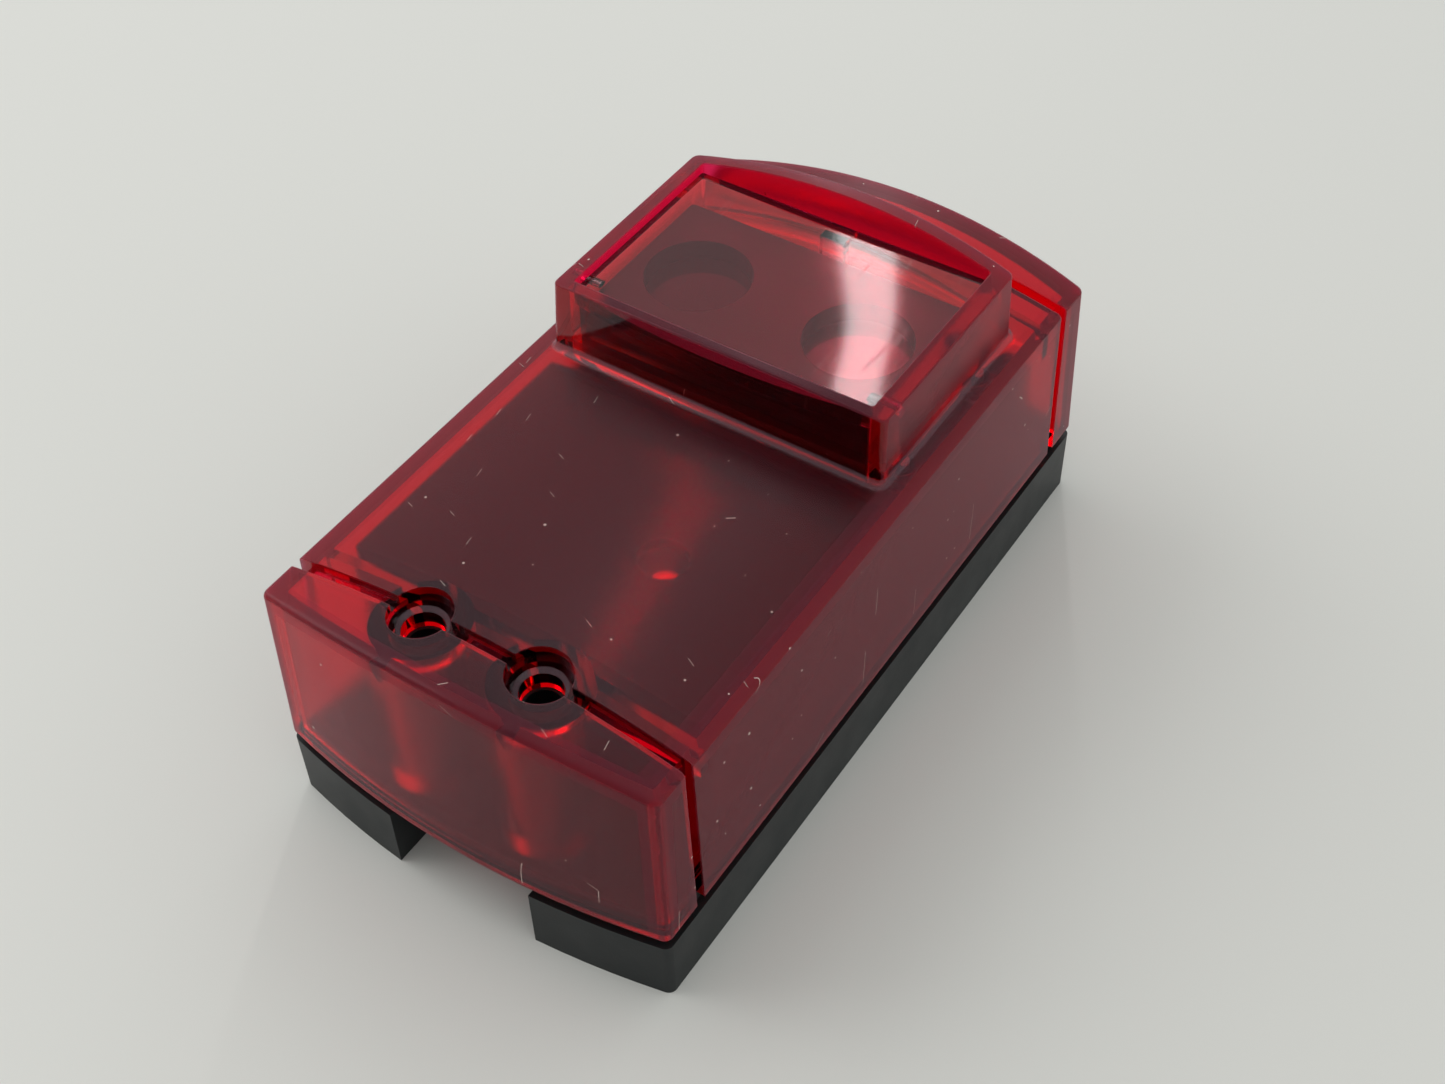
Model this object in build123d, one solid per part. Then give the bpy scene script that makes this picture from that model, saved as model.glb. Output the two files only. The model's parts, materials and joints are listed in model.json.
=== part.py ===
import os
from math import cos, radians, tan

from build123d import *

# Manual call point for surface mounting: a black base, a translucent ruby cover with a raised window hood,
# a tilting press pane in the hood, and the switch and electronics underneath.
# Origin: middle of the underside. +X across, +Y along the case towards the hood end, +Z away from the wall.

# Case
case_width = 64.0
case_corner_length = 113.0
end_bulge_bottom = 3.65
end_bulge_top = 3.05
base_height = 10.8
gasket_height = 1.9
shoulder_height = 40.5
side_draft = 0.73
end_draft = 0.82
top_crown_radius = 137.2
case_corner_radius = 1.3
top_edge_radius = 0.9
cover_wall = 2.6

# Shadow grooves across the cover, one near each end
groove_from_middle = 49.1
groove_width = 1.75
groove_depth = 1.7

# Fixing screws, straight through the cover's bosses and the base's pillars
fixing_spacing = 18.8
fixing_hole = 5.8
fixing_counterbore = 8.8
counterbore_depth = 2.7
fixing_hole_chamfer = 0.65
fixing_boss = 13.6
wall_hole = 5.0
pillar = 8.2
low_pillar_height = 6.0
pillar_gap = 0.1
pillar_socket_clearance = 0.15
pillar_below_counterbore = 3.4
boss_above_spigot = 1.0

# Base
base_floor = 2.0
spigot_clearance = 0.3
spigot_wall = 1.7
spigot_rise = 4.2
notch_width = 23.5
notch_depth = 7.2
notch_wall = 2.0
notch_cheek_inset = 4.0
cable_slot_width = 9.4
cable_slot_bottom = 2.0
gasket_inset = 1.3
gasket_width = 1.2

# Barbs on the base that hold the cover's hood end
barb_width = 8.0
barb_spacing = 34.0
barb_reach = 1.2
barb_height = 1.4
barb_above_seam = 0.5
barb_root_share = 0.6
barb_clearance = 0.15

# Stiffening ribs inside the cover
rib_from_middle = 45.0
rib_thickness = 1.6
rib_bottom = 34.5
rib_root = 0.3

# Hood
hood_half_width = 27.5
hood_side_draft = 0.55
hood_wall = 2.55
hood_front_wall = 1.1
hood_back_wall = 1.75
hood_foot_front = 2.2
hood_top_front = 3.6
hood_foot_back = 39.5
hood_top_back = 39.1
hood_front_bulge = 2.6
hood_back_bulge = 2.3
hood_crown_height = 55.5
hood_crown_radius = 137.5
hood_corner_radius = 1.2
hood_edge_radius = 0.35
hood_foot_radius = 1.5
hood_foot_level = 38.0
hood_top_level = 57.0

# Window opening in the hood
window_front_bulge = 2.25
window_back_bulge = 1.85
window_corner_radius = 0.5
window_bottom = 30.0

# Press pane, hinged at its front corners
pane_top = 52.0
pane_thickness = 2.4
pane_side_gap = 0.25
pane_front_gap = 0.3
pane_back_gap = 0.55
pane_corner_radius = 0.4
pivot_from_window_front = 3.3
pivot_diameter = 1.6
pivot_clearance = 0.05
pivot_in_pane = 2.2
pivot_in_wall = 1.8
pivot_end_gap = 0.2
stem_width = 4.0
stem_thickness = 1.6
stem_from_pane_back = 0.8
foot_height = 1.6
foot_pad_length = 4.4
foot_pad_depth = 4.0

# Well plate under the pane
plate_side_gap = 0.8
plate_front_gap = 0.6
plate_stem_gap = 1.2
plate_pane_gap = 2.1
plate_corner_radius = 0.6
plate_thickness = 1.6
skirt_thickness = 1.4
skirt_above_flange = 0.2
skirt_pane_gap = 0.3
well_diameter = 16.0
well_spacing = 26.8
well_from_origin = 19.6
well_depth = 3.8
well_wall = 1.2
lens_thickness = 0.8
lens_clearance = 0.1
leg_length = 5.0
leg_before_pivot = 1.0
flange_thickness = 1.4
flange_gap = 0.73
lug_diameter = 4.0
lug_from_plate = 2.6
lug_hole_depth = 2.2
stop_tab_width = 3.0
stop_tab_inset = 0.2
stop_tab_thickness = 1.4
stop_tab_reach = 2.0
stop_gap = 0.2

# Shroud over the electronics, standing on the base's spigot
shroud_side_gap = 1.3
shroud_wall = 1.6
shroud_boss_gap = 0.8
shroud_rib_gap = 0.7
shroud_skirt_gap = 0.3
shroud_rear_top = 33.5
shroud_tongue = 3.0
shroud_tongue_clearance = 0.05
shroud_board_gap = 0.3
lamp_hole_clearance = 1.0

# Circuit board
board_side_gap = 1.4
board_boss_gap = 4.3
board_pillar_gap = 2.0
board_above_spigot = 1.0
board_corner_radius = 2.0
board_thickness = 1.6
board_pillar = 5.4
board_pillar_from_side = 3.5
board_pillar_from_end = 4.0

# Switch
switch_length = 12.8
switch_width = 5.8
switch_height = 6.5
switch_top = 34.0
switch_before_stem = 11.2
switch_hole = 1.9
switch_hole_shares = (0.2, 0.8)
switch_corner_radius = 0.5
ear_thickness = 0.8
ear_half_length = 0.9
ear_rise = 0.75
ear_clearance = 0.1
lever_pin_diameter = 0.7
lever_pin_clearance = 0.05
lever_pivot_back = 2.2
lever_pivot_rise = 0.9
lever_barrel = 1.5
lever_length = 9.9
lever_width = 3.0
lever_thickness = 0.3
lever_rest_angle = 17.0
lever_gap = 0.1
button_diameter = 1.6
button_from_pivot = 3.6
button_rise = 1.5
button_length = 2.9
button_travel = 0.68
button_clearance = 0.05
button_bore_spare = 0.2
button_top_radius = 0.3
switch_pin_width = 1.1
switch_pin_thickness = 0.5
switch_pin_clearance = 0.3
switch_pin_shares = (0.14, 0.5, 0.86)
switch_pin_below_board = 1.2

# Bracket that holds the switch and seats the springs
bracket_plate = 2.0
tower_half_width = 2.8
tower_before_spring = 3.2
bracket_behind_spring = 3.0
bracket_front_inset = 0.2
bracket_screw_inset = 3.0
switch_seat_margin = 0.4
spring_peg_height = 1.8
spring_peg_clearance = 0.35

# Return springs
spring_half_spacing = 8.0
spring_mean_radius = 1.85
spring_wire_radius = 0.2
spring_turns = 5
shelf_top = 28.5
spring_gap = 0.05

# Screws
small_screw = 2.0
small_head = 3.8
small_head_height = 1.3
screw_clearance = 0.2
board_screw = 2.2
board_screw_head = 4.6
board_screw_head_height = 1.8
board_screw_length = 6.5
recess_depth_share = 0.55
recess_arm_share = 0.3
recess_slot_share = 0.07

# Status lamp on a spacer
led_x = 9.5
led_y = -23.0
led_diameter = 5.0
led_body_height = 6.0
led_rim = 0.8
led_rim_height = 1.0
led_above_board = 10.4
led_spacer_wall = 0.5
led_leg_half_spacing = 1.27
led_leg = 0.5
led_leg_below_board = 1.0
led_leg_clearance = 0.3

# Terminal block
terminal_poles = 4
terminal_pitch = 5.08
terminal_depth = 8.4
terminal_height = 10.2
terminal_from_origin = -31.0
terminal_wall = 0.9
terminal_top_chamfer = 1.0
wire_port_width = 3.6
wire_port_depth = 6.8
wire_port_bottom = 1.4
wire_port_height = 4.8
screw_well = 3.6
screw_well_bottom = 5.0
clamp_width = 3.4
clamp_length = 4.4
clamp_height = 4.6
clamp_seat = 1.5
clamp_wall = 0.6
clamp_top = 1.4
clamp_screw = 2.5
clamp_screw_head = 3.4
clamp_screw_bottom = 4.0
clamp_screw_head_bottom = 7.0
clamp_screw_head_height = 1.8
clamp_slot_width = 0.6
clamp_slot_depth = 0.9

# Relay
relay_x = -13.25
relay_y = 7.25
relay_width = 15.5
relay_length = 10.5
relay_height = 10.5
relay_edge_radius = 0.6

# Capacitor
capacitor_x = 15.0
capacitor_y = 8.0
capacitor_diameter = 8.0
capacitor_height = 11.0
capacitor_top_radius = 0.6
capacitor_groove_bottom = 1.4
capacitor_groove_width = 0.6
capacitor_groove_depth = 0.3

# Driver chip
chip_x = -11.25
chip_y = -10.85
chip_width = 7.5
chip_length = 10.3
chip_height = 2.0
chip_lift = 0.3
chip_chamfer = 0.3
chip_lead_pairs = 8
chip_lead_pitch = 1.27
chip_lead_span = 10.1
chip_lead_width = 0.4
chip_lead_height = 0.9

# Line resistor
resistor_x = 6.5
resistor_y = -14.0
resistor_lift = 2.0
resistor_length = 7.0
resistor_diameter = 2.6
resistor_end_radius = 0.5
resistor_lead = 0.6
resistor_lead_spacing = 11.4

# How far a cutting solid runs past the face it opens, and how deep a joined solid roots in its neighbour
past_face = 1.0
root = 1.0
overrun = 5.0
near_edge = 0.5

ledge_width = cover_wall + spigot_clearance
spigot_top = base_height + spigot_rise
cover_bottom = base_height + gasket_height
barb_bottom = cover_bottom + barb_above_seam
cover_top = shoulder_height + case_width**2 / (8 * top_crown_radius)
half_length = case_corner_length / 2
shroud_inset = cover_wall + shroud_side_gap
boss_bottom = spigot_top + boss_above_spigot
counterbore_floor = cover_top - fixing_spacing**2 / (8 * top_crown_radius) - counterbore_depth
pillar_top = counterbore_floor - pillar_below_counterbore
fixing_places = [
    (side * fixing_spacing / 2, end * groove_from_middle) for side in (-1, 1) for end in (-1, 1)
]
front_fixings = [place for place in fixing_places if place[1] < 0]
back_fixings = [place for place in fixing_places if place[1] > 0]

hood_top_half_width = hood_half_width - hood_side_draft
window_half_width = hood_top_half_width - hood_wall
window_front = hood_top_front + hood_front_wall
window_back = hood_top_back - hood_back_wall

pane_bottom = pane_top - pane_thickness
pane_half_width = window_half_width - pane_side_gap
pane_back = window_back - pane_back_gap
pivot_y = window_front + pivot_from_window_front
pivot_z = pane_top - pane_thickness / 2
stem_back = pane_back - stem_from_pane_back
stem_front = stem_back - stem_thickness
spring_y = (stem_front + stem_back) / 2
foot_half_width = spring_half_spacing + foot_pad_length / 2

plate_half_width = window_half_width - plate_side_gap
plate_back = stem_front - plate_stem_gap
plate_top = pane_bottom - plate_pane_gap
lug_half_spacing = plate_half_width + lug_from_plate
flange_reach = lug_half_spacing + lug_diameter / 2
flange_top = cover_top - flange_reach**2 / (2 * top_crown_radius) - cover_wall - flange_gap
lug_top = cover_top - lug_half_spacing**2 / (2 * top_crown_radius) - cover_wall / 2
skirt_bottom = flange_top + skirt_above_flange
skirt_top = pane_bottom - skirt_pane_gap
leg_fronts = (pivot_y - leg_before_pivot, plate_back - leg_length)
lug_places = [(side * lug_half_spacing, y + leg_length / 2) for side in (-1, 1) for y in leg_fronts]

shroud_front = -groove_from_middle + fixing_boss / 2 + shroud_boss_gap
shroud_back = rib_from_middle - rib_thickness / 2 - shroud_rib_gap
shroud_roof_back = window_front - window_front_bulge - shroud_skirt_gap

switch_front = stem_back - switch_before_stem
switch_bottom = switch_top - switch_height
switch_pin_places = [switch_front + switch_length * share for share in switch_pin_shares]
lever_pivot_y = switch_front + lever_pivot_back
lever_pivot_z = switch_top + lever_pivot_rise
lever_slope = tan(radians(lever_rest_angle))
foot_bottom = (
    lever_pivot_z
    + (stem_back - lever_pivot_y) * lever_slope
    + lever_thickness / 2 / cos(radians(lever_rest_angle))
    + lever_gap
)
foot_top = foot_bottom + foot_height

board_half_width = case_width / 2 - ledge_width - spigot_wall - board_side_gap
board_front = -groove_from_middle + fixing_boss / 2 + board_boss_gap
board_back = groove_from_middle - pillar / 2 - board_pillar_gap
board_bottom = spigot_top + board_above_spigot
board_top = board_bottom + board_thickness
board_pillar_places = [
    (side * (board_half_width - board_pillar_from_side), y)
    for side in (-1, 1)
    for y in (board_front + board_pillar_from_end, board_back - board_pillar_from_end)
]
bracket_half_width = spring_half_spacing + tower_half_width
bracket_front = switch_front + bracket_front_inset
bracket_back = spring_y + bracket_behind_spring
bracket_screw_y = bracket_front + bracket_screw_inset
bracket_screw_places = [(side * spring_half_spacing, bracket_screw_y) for side in (-1, 1)]
led_seat = board_top + led_above_board
led_leg_places = [led_x + side * led_leg_half_spacing for side in (-1, 1)]
terminal_width = terminal_poles * terminal_pitch + 2 * terminal_wall
pole_places = [(i - (terminal_poles - 1) / 2) * terminal_pitch for i in range(terminal_poles)]


def box_between(x0, x1, y0, y1, z0, z1):
    middle = ((x0 + x1) / 2, (y0 + y1) / 2, (z0 + z1) / 2)
    return Pos(*middle) * Box(abs(x1 - x0), abs(y1 - y0), abs(z1 - z0))


def rod(x, y, z0, z1, diameter):
    return Pos(x, y, (z0 + z1) / 2) * Cylinder(diameter / 2, abs(z1 - z0))


def cross_rod(x0, x1, y, z, diameter):
    return Pos((x0 + x1) / 2, y, z) * Rot(0, 90, 0) * Cylinder(diameter / 2, abs(x1 - x0))


def arced_outline(half_width, front, back, front_bulge, back_bulge, corner_radius=0.0):
    """A rectangle whose front and back edges bulge outwards as arcs; a bulge of 0 is a straight edge."""
    front_left, front_right = (-half_width, front), (half_width, front)
    back_left, back_right = (-half_width, back), (half_width, back)
    edges = [Line(front_right, back_right), Line(back_left, front_left)]
    if front_bulge:
        edges.append(ThreePointArc(front_left, (0, front - front_bulge), front_right))
    else:
        edges.append(Line(front_left, front_right))
    if back_bulge:
        edges.append(ThreePointArc(back_right, (0, back + back_bulge), back_left))
    else:
        edges.append(Line(back_right, back_left))
    outline = make_face(Curve() + edges)
    if corner_radius:
        outline = fillet(outline.vertices(), corner_radius)
    return outline


def case_outline(inset, bulge, draft_share=0.0):
    """The case's plan, pulled in by an inset and by a share of the draft."""
    half_width = case_width / 2 - inset - side_draft * draft_share
    end = half_length - inset - end_draft * draft_share
    corner_radius = max(case_corner_radius - inset, 0.4)
    return arced_outline(half_width, -end, end, bulge, bulge, corner_radius)


def crowned(radius, top, inset=0.0):
    """A long cylinder along Y whose upper side is the crowned top."""
    round_part = Cylinder(radius - inset, 2 * case_corner_length)
    return Pos(0, 0, top - radius) * Rot(90, 0, 0) * round_part


def case_solid(inset):
    """The cover's outer form, or the same form pulled in by an inset all over, with a crowned top."""
    low = Pos(0, 0, cover_bottom) * case_outline(inset, end_bulge_bottom)
    high = Pos(0, 0, shoulder_height) * case_outline(inset, end_bulge_top, 1.0)
    rise = cover_top + overrun - shoulder_height
    share = 1.0 + rise / (shoulder_height - cover_bottom)
    tip = Pos(0, 0, shoulder_height + rise) * case_outline(inset, end_bulge_top, share)
    body = loft([low, high], ruled=True) + loft([high, tip], ruled=True)
    return body & crowned(top_crown_radius, cover_top, inset)


def make_base():
    body = extrude(case_outline(0, end_bulge_bottom), base_height)
    spigot = extrude(case_outline(ledge_width, end_bulge_bottom), spigot_top)
    hollow = extrude(case_outline(ledge_width + spigot_wall, end_bulge_bottom), spigot_top)
    base = body + spigot - Pos(0, 0, base_floor) * hollow
    end = half_length + end_bulge_bottom
    half_notch = notch_width / 2
    half_wall = half_notch + notch_wall
    half_slot = cable_slot_width / 2
    for side in (-1, 1):
        inner = side * (end - notch_depth)
        past = side * (end + overrun)
        wall_back = side * (end - notch_depth - notch_wall)
        base -= box_between(-half_notch, half_notch, inner, past, -1, base_height)
        base += box_between(-half_wall, half_wall, inner, wall_back, 0, base_height)
        slot_start = inner + side * past_face
        slot_end = wall_back - side * past_face
        slot_top = base_height + past_face
        base -= box_between(-half_slot, half_slot, slot_start, slot_end, cable_slot_bottom, slot_top)
        for edge in (-1, 1):
            cheek_end = side * (end - notch_cheek_inset)
            base += box_between(edge * half_notch, edge * half_wall, inner, cheek_end, 0, base_height)
    for x, y in front_fixings:
        base += rod(x, y, 0, pillar_top, pillar)
    for x, y in back_fixings:
        base += rod(x, y, 0, low_pillar_height, pillar)
    for x, y in fixing_places:
        base -= rod(x, y, -1, pillar_top + 1, wall_hole)
    for x, y in board_pillar_places:
        base += rod(x, y, base_floor, board_bottom, board_pillar)
        base -= rod(x, y, board_top - board_screw_length, board_bottom + 1, board_screw)
    for side in (-1, 1):
        base += barb(side, 0)
    return base


def barb(side, clearance):
    """A catch on the spigot's hood end; with a clearance it is the pocket that takes it."""
    middle = side * barb_spacing / 2
    arc_radius = half_arc_radius(end_bulge_bottom, case_width / 2)
    drop = middle**2 / (2 * arc_radius)
    face = half_length + end_bulge_bottom - drop - ledge_width
    return box_between(
        middle - barb_width / 2 - clearance,
        middle + barb_width / 2 + clearance,
        face - spigot_wall * barb_root_share,
        face + barb_reach + clearance,
        barb_bottom - clearance,
        barb_bottom + barb_height + clearance,
    )


def half_arc_radius(bulge, half_width):
    return (half_width**2 + bulge**2) / (2 * bulge)


def make_gasket():
    outer = case_outline(gasket_inset, end_bulge_bottom)
    inner = case_outline(gasket_inset + gasket_width, end_bulge_bottom)
    return Pos(0, 0, base_height) * extrude(outer - inner, gasket_height)


def hood_solid():
    bulges = (hood_front_bulge, hood_back_bulge)
    foot = arced_outline(hood_half_width, hood_foot_front, hood_foot_back, *bulges, hood_corner_radius)
    top = arced_outline(hood_top_half_width, hood_top_front, hood_top_back, *bulges, hood_corner_radius)
    body = loft([Pos(0, 0, hood_foot_level) * foot, Pos(0, 0, hood_top_level) * top], ruled=True)
    body = body & crowned(hood_crown_radius, hood_crown_height)
    return fillet(body.faces().sort_by(Axis.Z)[-1].edges(), hood_edge_radius)


def window_outline():
    bulges = (window_front_bulge, window_back_bulge)
    return arced_outline(window_half_width, window_front, window_back, *bulges, window_corner_radius)


def hood_foot_edges(body):
    """The edges where the hood's walls rise out of the cover's top."""
    found = []
    foremost = hood_foot_front - hood_front_bulge - near_edge
    rearmost = hood_foot_back + hood_back_bulge + near_edge
    for edge in body.edges():
        centre = edge.center()
        inside_x = abs(centre.X) < hood_half_width + near_edge
        inside_y = foremost < centre.Y < rearmost
        at_level = shoulder_height + near_edge < centre.Z < cover_top + near_edge
        if inside_x and inside_y and at_level:
            found.append(edge)
    return found


def make_cover():
    outer = case_solid(0)
    outer = fillet(outer.faces().sort_by(Axis.Z)[-1].edges(), top_edge_radius)
    body = outer + hood_solid()
    body = fillet(hood_foot_edges(body), hood_foot_radius)
    skin = case_solid(-overrun) - case_solid(groove_depth)
    for side in (-1, 1):
        middle = side * groove_from_middle
        front, back = middle - groove_width / 2, middle + groove_width / 2
        band = box_between(-case_width, case_width, front, back, 0, hood_top_level)
        body -= skin & band
    inside = case_solid(cover_wall)
    mouth = Pos(0, 0, cover_bottom - overrun) * case_outline(cover_wall, end_bulge_bottom)
    inside += extrude(mouth, overrun + root)
    body -= inside
    body -= Pos(0, 0, window_bottom) * extrude(window_outline(), hood_top_level)
    for side in (-1, 1):
        middle = side * rib_from_middle
        front, back = middle - rib_thickness / 2, middle + rib_thickness / 2
        rib = box_between(-case_width, case_width, front, back, rib_bottom, cover_top)
        body += rib & case_solid(cover_wall - rib_root)
    for x, y in front_fixings:
        boss_top = cover_top - cover_wall / 2 - root
        body += rod(x, y, boss_bottom, boss_top, fixing_boss)
    for x, y in front_fixings:
        socket = pillar + 2 * pillar_socket_clearance
        body -= rod(x, y, boss_bottom - 1, pillar_top + pillar_gap, socket)
        body -= rod(x, y, boss_bottom - 1, cover_top + 1, fixing_hole)
        body -= rod(x, y, counterbore_floor, cover_top + 1, fixing_counterbore)
        cone = Cone(fixing_hole / 2, fixing_hole / 2 + fixing_hole_chamfer, fixing_hole_chamfer)
        body -= Pos(x, y, counterbore_floor - fixing_hole_chamfer / 2) * cone
    for x, y in lug_places:
        body += rod(x, y, flange_top, lug_top, lug_diameter)
        body -= rod(x, y, flange_top - 1, flange_top + lug_hole_depth, small_screw)
    for side in (-1, 1):
        body -= barb(side, barb_clearance)
        wall_face = side * (window_half_width - past_face)
        deep = side * (window_half_width + pivot_in_wall + pivot_end_gap)
        body -= cross_rod(wall_face, deep, pivot_y, pivot_z, pivot_diameter + 2 * pivot_clearance)
    return body


def make_press_pane():
    front = window_front + pane_front_gap
    plan = arced_outline(pane_half_width, front, pane_back, window_front_bulge, 0, pane_corner_radius)
    pane = Pos(0, 0, pane_bottom) * extrude(plan, pane_thickness)
    for side in (-1, 1):
        outer = side * (pane_half_width + past_face)
        inner = side * (pane_half_width - pivot_in_pane)
        pane -= cross_rod(outer, inner, pivot_y, pivot_z, pivot_diameter)
    pane += box_between(-stem_width / 2, stem_width / 2, stem_front, stem_back, foot_bottom, pane_bottom)
    pane += box_between(-foot_half_width, foot_half_width, stem_front, stem_back, foot_bottom, foot_top)
    for side in (-1, 1):
        pane += box_between(
            side * foot_half_width,
            side * (foot_half_width - foot_pad_length),
            spring_y - foot_pad_depth / 2,
            spring_y + foot_pad_depth / 2,
            foot_bottom,
            foot_top,
        )
    return pane


def make_pivot_pins():
    pins = []
    for side in (-1, 1):
        inner = side * (pane_half_width - pivot_in_pane)
        outer = side * (window_half_width + pivot_in_wall)
        pins.append(cross_rod(inner, outer, pivot_y, pivot_z, pivot_diameter))
    return Compound(children=pins)


def make_well_plate():
    front = window_front + plate_front_gap
    bulge = window_front_bulge
    sheet_plan = arced_outline(plate_half_width, front, plate_back, bulge, 0, plate_corner_radius)
    plate = Pos(0, 0, plate_top - plate_thickness) * extrude(sheet_plan, plate_thickness)
    skirt_back = front + skirt_thickness
    skirt_plan = arced_outline(plate_half_width, front, skirt_back, bulge, -bulge)
    plate += Pos(0, 0, skirt_bottom) * extrude(skirt_plan, skirt_top - skirt_bottom)
    well_floor = plate_top - well_depth
    for side in (-1, 1):
        x = side * well_spacing / 2
        plate += rod(x, well_from_origin, well_floor - well_wall, plate_top, well_diameter + 2 * well_wall)
    for side in (-1, 1):
        x = side * well_spacing / 2
        plate -= rod(x, well_from_origin, well_floor, plate_top + 1, well_diameter)
    flange_bottom = flange_top - flange_thickness
    sheet_bottom = plate_top - plate_thickness
    tab_bottom = foot_top + stop_gap
    tab_top = tab_bottom + stop_tab_thickness
    tab_root = plate_back - plate_thickness
    for side in (-1, 1):
        outer = side * plate_half_width
        inner = side * (plate_half_width - skirt_thickness)
        for front in leg_fronts:
            back = front + leg_length
            plate += box_between(outer, inner, front, back, flange_bottom, sheet_bottom)
            plate += box_between(side * flange_reach, inner, front, back, flange_bottom, flange_top)
        tab_outer = side * (foot_half_width - stop_tab_inset)
        tab_inner = side * (foot_half_width - stop_tab_inset - stop_tab_width)
        plate += box_between(tab_outer, tab_inner, tab_root, plate_back, tab_bottom, sheet_bottom)
        tab_tip = plate_back + stop_tab_reach
        plate += box_between(tab_outer, tab_inner, tab_root, tab_tip, tab_bottom, tab_top)
    for x, y in lug_places:
        plate -= rod(x, y, flange_bottom - past_face, flange_top + near_edge, small_screw + screw_clearance)
    return plate


def make_well_lenses():
    low = plate_top - well_depth
    lens_diameter = well_diameter - 2 * lens_clearance
    high = low + lens_thickness
    places = (-well_spacing / 2, well_spacing / 2)
    return Compound(children=[rod(x, well_from_origin, low, high, lens_diameter) for x in places])


def pan_screw(x, y, seat, shank_end, shank, head, head_height, up):
    """A pan-head screw with a cross recess; up is -1 where the head hangs below its seat."""
    head_end = seat + up * head_height
    screw = rod(x, y, seat, head_end, head)
    screw += rod(x, y, seat, shank_end, shank)
    floor = head_end - up * head_height * recess_depth_share
    half = head * recess_arm_share
    slot = head * recess_slot_share
    screw -= box_between(x - half, x + half, y - slot, y + slot, floor, head_end + up)
    screw -= box_between(x - slot, x + slot, y - half, y + half, floor, head_end + up)
    return screw


def make_plate_screws():
    seat = flange_top - flange_thickness
    tip = flange_top + lug_hole_depth - screw_clearance
    screws = []
    for x, y in lug_places:
        screws.append(pan_screw(x, y, seat, tip, small_screw, small_head, small_head_height, -1))
    return Compound(children=screws)


def make_board_screws():
    screws = []
    for x, y in board_pillar_places:
        tip = board_top - board_screw_length
        screws.append(
            pan_screw(x, y, board_top, tip, board_screw, board_screw_head, board_screw_head_height, 1)
        )
    return Compound(children=screws)


def make_shroud():
    top = cover_top + 1
    inner_inset = shroud_inset + shroud_wall
    span = box_between(-case_width, case_width, shroud_front, shroud_back, spigot_top, top)
    room_front = shroud_front + shroud_wall
    room_back = shroud_back - shroud_wall
    room = box_between(-case_width, case_width, room_front, room_back, 0, top)
    shell = (case_solid(shroud_inset) & span) - (case_solid(inner_inset) & room)
    past_back = shroud_back + past_face
    shell -= box_between(-case_width, case_width, shroud_roof_back, past_back, shroud_rear_top, top)
    shell -= rod(led_x, led_y, board_top, top, led_diameter + 2 * lamp_hole_clearance)
    tongue_outer = case_width / 2 - ledge_width - spigot_wall - shroud_tongue_clearance
    tongue_inner = case_width / 2 - inner_inset
    for side in (-1, 1):
        x0, x1 = side * tongue_outer, side * tongue_inner
        tongue_bottom = spigot_top - shroud_tongue
        shell += box_between(x0, x1, room_front, room_back, tongue_bottom, spigot_top + root)
    gap = shroud_board_gap
    half_width = board_half_width + gap
    return shell - box_between(
        -half_width, half_width, board_front - gap, board_back + gap, board_bottom - gap, board_top + gap
    )


def make_circuit_board():
    half_width = board_half_width
    board = box_between(-half_width, half_width, board_front, board_back, board_bottom, board_top)
    board = fillet(board.edges().filter_by(Axis.Z), board_corner_radius)
    for x, y in board_pillar_places:
        board -= rod(x, y, board_bottom - 1, board_top + 1, board_screw + 2 * screw_clearance)
    for x, y in bracket_screw_places:
        board -= rod(x, y, board_bottom - 1, board_top + 1, small_screw)
    for y in switch_pin_places:
        board -= rod(0, y, board_bottom - 1, board_top + 1, switch_pin_width + switch_pin_clearance)
    for x in led_leg_places:
        board -= rod(x, led_y, board_bottom - 1, board_top + 1, led_leg + led_leg_clearance)
    return board


def make_switch_bracket():
    half_width = bracket_half_width
    plate_level = board_top + bracket_plate
    bracket = box_between(-half_width, half_width, bracket_front, bracket_back, board_top, plate_level)
    half_block = switch_width / 2 + switch_seat_margin
    bracket += box_between(-half_block, half_block, bracket_front, bracket_back, board_top, switch_bottom)
    tower_front = spring_y - tower_before_spring
    peg = 2 * (spring_mean_radius - spring_wire_radius - spring_peg_clearance)
    for side in (-1, 1):
        outer = side * bracket_half_width
        inner = side * (spring_half_spacing - tower_half_width)
        bracket += box_between(outer, inner, tower_front, bracket_back, board_top, shelf_top)
        bracket += rod(side * spring_half_spacing, spring_y, shelf_top, shelf_top + spring_peg_height, peg)
    for x, y in bracket_screw_places:
        bracket -= rod(x, y, board_top - 1, board_top + bracket_plate + 1, small_screw + screw_clearance)
    slot = (switch_pin_width + switch_pin_clearance) / 2
    for y in switch_pin_places:
        bracket -= box_between(-slot, slot, y - slot, y + slot, board_top - 1, switch_bottom + 1)
    return bracket


def make_bracket_screws():
    screws = []
    for x, y in bracket_screw_places:
        seat = board_top + bracket_plate
        tip = board_bottom - past_face
        screws.append(pan_screw(x, y, seat, tip, small_screw, small_head, small_head_height, 1))
    return Compound(children=screws)


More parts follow.
